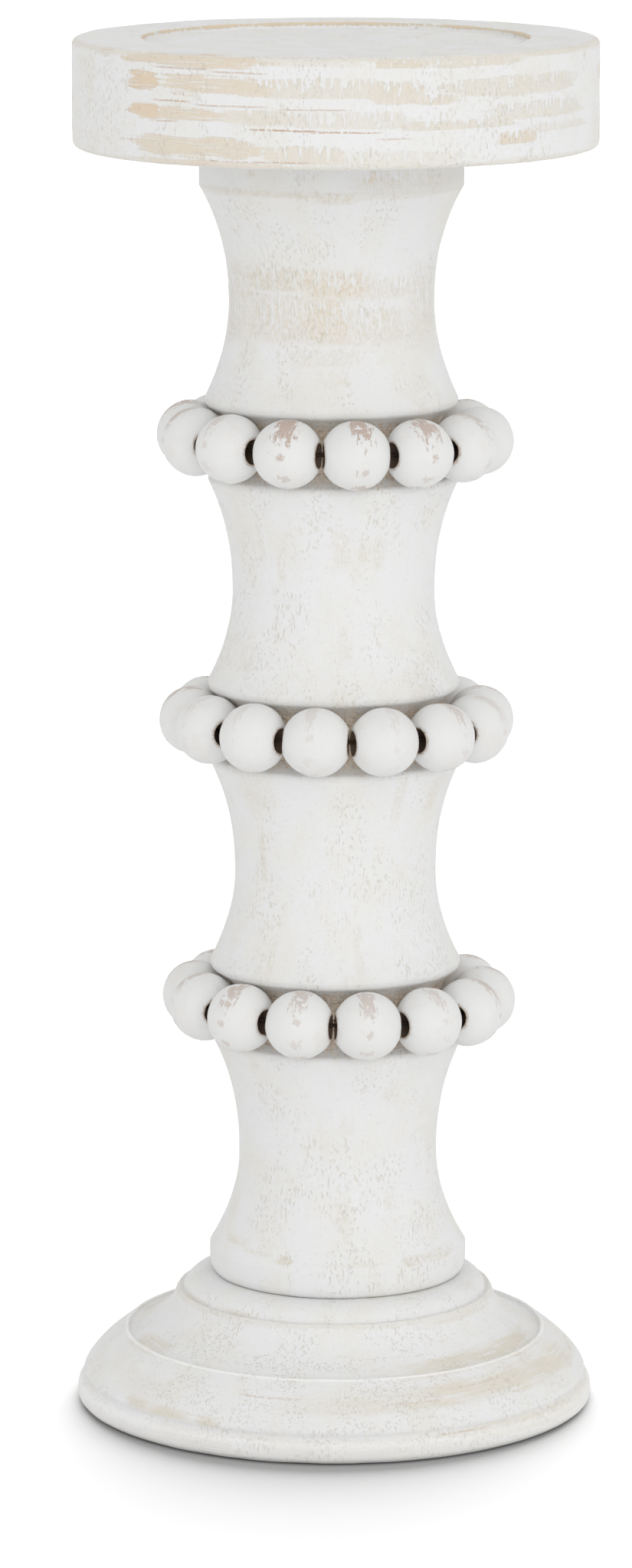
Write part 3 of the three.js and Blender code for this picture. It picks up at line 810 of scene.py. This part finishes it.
# The cord: the radius of its ring, its three strands, and the knot and cut tails, in mm.
CORD_LINE = 32.7
STRAND_RADIUS = 0.27
TWIST_RADIUS = 0.25
TWISTS = 68
STOPS_A_TWIST = 8
KNOT_SIZE = 0.42
KNOT_DEPTH = 1.3
KNOT_STRAND = 0.48
KNOT_STOPS = 60
TAIL_LENGTH = 6.2
TAIL_STRAND = 0.45
TAIL_STOPS = 12
TAIL_OUT = 0.8
TAIL_SPREAD = 0.45
TAIL_DROP = 0.35


def on_string(radius, angle):
    """A place on a string, in metres; 0 degrees is the front and 90 the right-hand side."""
    turn = math.radians(angle)
    return Vector((radius * math.sin(turn), -radius * math.cos(turn), 0)) * MM


def strand(path, closed, radius=STRAND_RADIUS):
    """Adds one strand to the cord being made, as a round curve through the path's points."""
    curve = bpy.data.curves.new("strand", "CURVE")
    curve.dimensions = "3D"
    curve.bevel_depth = radius * MM
    curve.bevel_resolution = 1
    curve.use_fill_caps = not closed
    line = curve.splines.new("POLY")
    line.points.add(len(path) - 1)
    for spot, place in zip(line.points, path):
        spot.co = (*place, 1)
    line.use_cyclic_u = closed
    made = bpy.data.objects.new("strand", curve)
    bpy.context.collection.objects.link(made)
    return made


def make_cord(name, place, knot_angle):
    """Three twisted strands right round the string, with an overhand knot and two cut tails."""
    strands = []
    stops = TWISTS * STOPS_A_TWIST
    for lay in range(3):
        path = []
        for n in range(stops):
            twist = 2 * math.pi * (n / STOPS_A_TWIST + lay / 3)
            ring = on_string(CORD_LINE + TWIST_RADIUS * math.cos(twist), 360 * n / stops)
            path.append(place @ (ring + Vector((0, 0, TWIST_RADIUS * MM * math.sin(twist)))))
        strands.append(strand(path, closed=True))
    knot = place @ on_string(CORD_LINE, knot_angle)
    outward = (place.to_3x3() @ on_string(1, knot_angle)).normalized()
    upward = place.to_3x3() @ Vector((0, 0, 1))
    sideways = outward.cross(upward)
    loops = []
    for n in range(KNOT_STOPS):
        t = 2 * math.pi * n / KNOT_STOPS
        loops.append(knot + MM * KNOT_SIZE * (
            sideways * (math.sin(t) + 2 * math.sin(2 * t))
            + upward * (math.cos(t) - 2 * math.cos(2 * t))
            - outward * KNOT_DEPTH * math.sin(3 * t)))
    strands.append(strand(loops, closed=True, radius=KNOT_STRAND))
    for side in (-1, 1):
        tail = []
        for n in range(TAIL_STOPS + 1):
            share = n / TAIL_STOPS
            reach = TAIL_LENGTH * MM * share
            tail.append(knot + outward * reach * TAIL_OUT + sideways * side * reach * TAIL_SPREAD
                        - upward * reach * TAIL_DROP * (1 + share))
        strands.append(strand(tail, closed=False, radius=TAIL_STRAND))
    bpy.ops.object.select_all(action="DESELECT")
    for made in strands:
        made.select_set(True)
    bpy.context.view_layer.objects.active = strands[0]
    bpy.ops.object.convert(target="MESH")
    bpy.ops.object.join()
    cord = bpy.context.object
    cord.name = name
    cord.data.name = name
    bpy.ops.object.shade_smooth()
    return cord


for index, (level, axis, front_lift, left_lift, first) in enumerate(STRINGS):
    body = "bead_string_" + level
    middle = Vector((axis, 0, COVES[index])) * MM
    place = (Matrix.Translation(middle) @ Matrix.Rotation(math.radians(-front_lift), 4, "X")
             @ Matrix.Rotation(math.radians(left_lift), 4, "Y"))
    for n in range(BEADS):
        angle = first + n * BEAD_PITCH
        node = f"bead_{level}_{n + 1:02d}"
        mesh = first_bead.data.copy()
        mesh.name = "painted_" + node
        bead = bpy.data.objects.new("painted_" + node, mesh)
        bpy.context.collection.objects.link(bead)
        local = [x for vertex in mesh.vertices for x in vertex.co]
        mesh.attributes.new("in_bead", "FLOAT_VECTOR", "POINT").data.foreach_set("vector", local)
        count = len(mesh.vertices)
        number = mesh.attributes.new("bead_number", "FLOAT", "POINT")
        number.data.foreach_set("value", [float(index * BEADS + n)] * count)
        wear = mesh.attributes.new("bead_wear", "FLOAT", "POINT")
        wear.data.foreach_set("value", [WEAR[level][n]] * count)
        mesh.transform(place @ Matrix.Translation(on_string(STRING_RADIUS, angle))
                       @ Matrix.Rotation(math.radians(angle), 4, "Z"))
        uneven(bead, 6 * MM, 0.3 * MM)
        settle(bead, body, "bead_paint", bead_paint, node)
    knot_angle = first - (360 - (BEADS - 1) * BEAD_PITCH) / 2
    cord = make_cord("twisted_cord_" + level, place, knot_angle)
    settle(cord, body, "cord", cord_thread, "cord_" + level)
bpy.data.objects.remove(first_bead)


# Candle plate: a thick disc of turned wood with rounded arrises and a shallow round recess for the
# candle. Its side is scraped back in four level bands, which the brush has partly covered again.
plate_low, plate_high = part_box("candle_plate")
plate_axis = (plate_low.x + plate_high.x) / 2
plate_radius = (plate_high.x - plate_low.x) / 2 / MM
plate_bottom = plate_low.z / MM
plate_top = plate_high.z / MM
PLATE_EDGE = 1.6
RECESS_RADIUS = 44.2
RECESS_DEPTH = 1.4
RECESS_EDGE = 0.5
RECESS_FILLET = 0.4
PLATE_SOCKET = 13
PLATE_SIDES = 400
plate_side = plate_radius - PLATE_EDGE
recess_floor = plate_top - RECESS_DEPTH
plate_outline = [
    (0, plate_bottom + PLATE_SOCKET),
    (SOCKET_RADIUS, plate_bottom + PLATE_SOCKET),
    (SOCKET_RADIUS, plate_bottom),
    *straight((SOCKET_RADIUS, plate_bottom), (plate_side, plate_bottom), 30)[1:],
    *arc((plate_side, plate_bottom + PLATE_EDGE), PLATE_EDGE, PLATE_EDGE, -90, 0, 8)[1:],
    *straight((plate_radius, plate_bottom + PLATE_EDGE), (plate_radius, plate_top - PLATE_EDGE),
              40)[1:],
    *arc((plate_side, plate_top - PLATE_EDGE), PLATE_EDGE, PLATE_EDGE, 0, 90, 8)[1:],
    *straight((plate_side, plate_top), (RECESS_RADIUS + RECESS_EDGE, plate_top), 14)[1:],
    *arc((RECESS_RADIUS + RECESS_EDGE, plate_top - RECESS_EDGE), RECESS_EDGE, RECESS_EDGE,
         90, 180, 4)[1:],
    *arc((RECESS_RADIUS - RECESS_FILLET, recess_floor + RECESS_FILLET), RECESS_FILLET,
         RECESS_FILLET, 0, -90, 4),
    *straight((RECESS_RADIUS - RECESS_FILLET, recess_floor), (0, recess_floor), 24)[1:],
]
plate = turned("painted_candle_plate", plate_outline, plate_axis, PLATE_SIDES)
uneven(plate, 14 * MM, 0.28 * MM)
uneven(plate, 1.8 * MM, 0.06 * MM, stretch=3)
plate_worn = [
    (-34, 319.6, 18, 1.3, 0.85, 0.55),
    (-6, 319.7, 12, 0.9, 0.4, 0.4),
    (14, 319.4, 6, 1.0, 0.8, 0.5),
    (31, 319.3, 12, 1.1, 0.7, 0.4),
    (54, 320.2, 11, 0.6, 0.6, 0.4),
    (-45, 314.4, 4.4, 1.9, 0.92, 0.85),
    (-27, 314.2, 13, 2.0, 0.78, 0.6),
    (-2, 314.0, 14, 2.2, 0.6, 0.4),
    (13, 313.0, 6, 2.4, 0.7, 0.45),
    (21, 311.4, 5, 1.2, 0.7, 0.5),
    (42, 313.6, 20, 2.2, 0.6, 0.25),
    (-45, 307.9, 4.4, 1.7, 0.88, 0.8),
    (-33, 307.7, 7.5, 1.6, 0.8, 0.6),
    (-17, 307.4, 9, 1.9, 0.6, 0.4),
    (3, 307.0, 13, 1.9, 0.5, 0.25),
    (27, 305.6, 13, 1.0, 0.65, 0.4),
    (50, 307.8, 16, 1.8, 0.55, 0.25),
    (-31, 300.3, 16.5, 2.2, 0.8, 0.5),
    (-7, 299.2, 9, 2.0, 0.65, 0.5),
    (14, 298.4, 14, 1.8, 0.4, 0.3),
    (42, 302.0, 5, 1.3, 0.8, 0.55),
    (57, 303.6, 11, 0.9, 0.45, 0.35),
    (-30, 296.9, 18, 0.6, 0.6, 0.9),
    (100, 314, 20, 2, 0.6, 0.5),
    (138, 307, 25, 1.8, 0.6, 0.5),
    (-112, 300.5, 22, 2, 0.7, 0.6),
    (-150, 313.6, 22, 2, 0.6, 0.6),
    (160, 300, 14, 2, 0.6, 0.5),
    (-96, 308, 12, 1.5, 0.5, 0.5),
    (122, 319.5, 20, 1, 0.6, 0.6),
    (-140, 319.6, 22, 1, 0.7, 0.6),
]
plate_scratches = [
    (317.7, -42, -28, 0.7),
    (317.2, -27, -15, 0.6),
    (310.3, -42, -33, 0.9),
    (309.8, -31, -15, 0.6),
    (309.3, -12, 2, 0.6),
    (304.7, -18, -4, 1.0),
    (304.4, -5, 9, 0.9),
    (302.9, 9, 16, 0.5),
    (305.8, -43, -36, 0.6),
    (297.6, -30, -6, 0.7),
    (310.6, 150, 168, 0.7),
    (304.5, -140, -118, 0.7),
]
plate_arrises = [
    (plate_radius - 0.4, plate_top - 0.4, 1.1, 0.45),
    (plate_radius - 0.4, plate_bottom + 0.4, 0.9, 0.4),
    (RECESS_RADIUS + 0.1, plate_top - 0.4, 0.5, 1.0),
]
plate_rough = [
    (-62, 308, 12, 9, 1.0),
    (-52, 314, 7, 4, 0.9),
    (35, 309, 26, 9, 0.6),
    (-148, 306, 18, 8, 0.8),
    (110, 304, 22, 8, 0.7),
]
plate_paint = whitewash("plate_paint", plate_axis, plate_worn, plate_scratches, plate_arrises,
                        rough=plate_rough, upright_from=-18, inside=57, soft=0.1, flecked=0.1)
settle(plate, "root", "plate_paint", plate_paint, "candle_plate")


# Joinery: four plain dowels of pale hardwood and one zinc-plated wood screw. They keep their own
# solids and only get their finish here.
PALE_WOOD = shade(196, 164, 122)
DEEP_WOOD = shade(172, 136, 94)
PORE_BROWN = shade(122, 90, 58)
BRIGHT_ZINC = shade(168, 170, 172)
DULL_ZINC = shade(142, 145, 150)
wood, wood_shader, wood_point = new_finish("bare_wood")
grain = wood_point.noise(0.5 * MM, upright=22, detail=3)
pores = wood_point.noise(0.25 * MM, upright=9, detail=1).rise(0.62, 0.7)
wood_colour = grain.rise(0.3, 0.7).blend(PALE_WOOD, DEEP_WOOD)
join((pores * 0.5).blend(wood_colour, PORE_BROWN), wood_shader, "Base Color")
join(0.6 + grain * 0.25, wood_shader, "Roughness")
wood_bump = grain.node("Bump", {"Height": grain - pores * 0.6, "Distance": 0.1 * MM})
join(wood_bump, wood_shader, "Normal")

steel, steel_shader, steel_point = new_finish("screw_steel")
turning = steel_point.noise(0.3 * MM, upright=0.6, detail=2)
zinc = steel_point.noise(2 * MM, detail=3)
join(zinc.rise(0.3, 0.7).blend(BRIGHT_ZINC, DULL_ZINC), steel_shader, "Base Color")
steel_shader.inputs["Metallic"].default_value = 1.0
join(0.28 + turning * 0.25, steel_shader, "Roughness")
join(turning.node("Bump", {"Height": turning, "Distance": 0.03 * MM}), steel_shader, "Normal")

for node, finish in [("dowel_lower", wood), ("dowel_middle", wood), ("dowel_upper", wood),
                     ("dowel_plate", wood), ("foot_screw", steel)]:
    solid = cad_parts[node]
    solid.material_slots[0].link = "OBJECT"
    solid.material_slots[0].material = finish
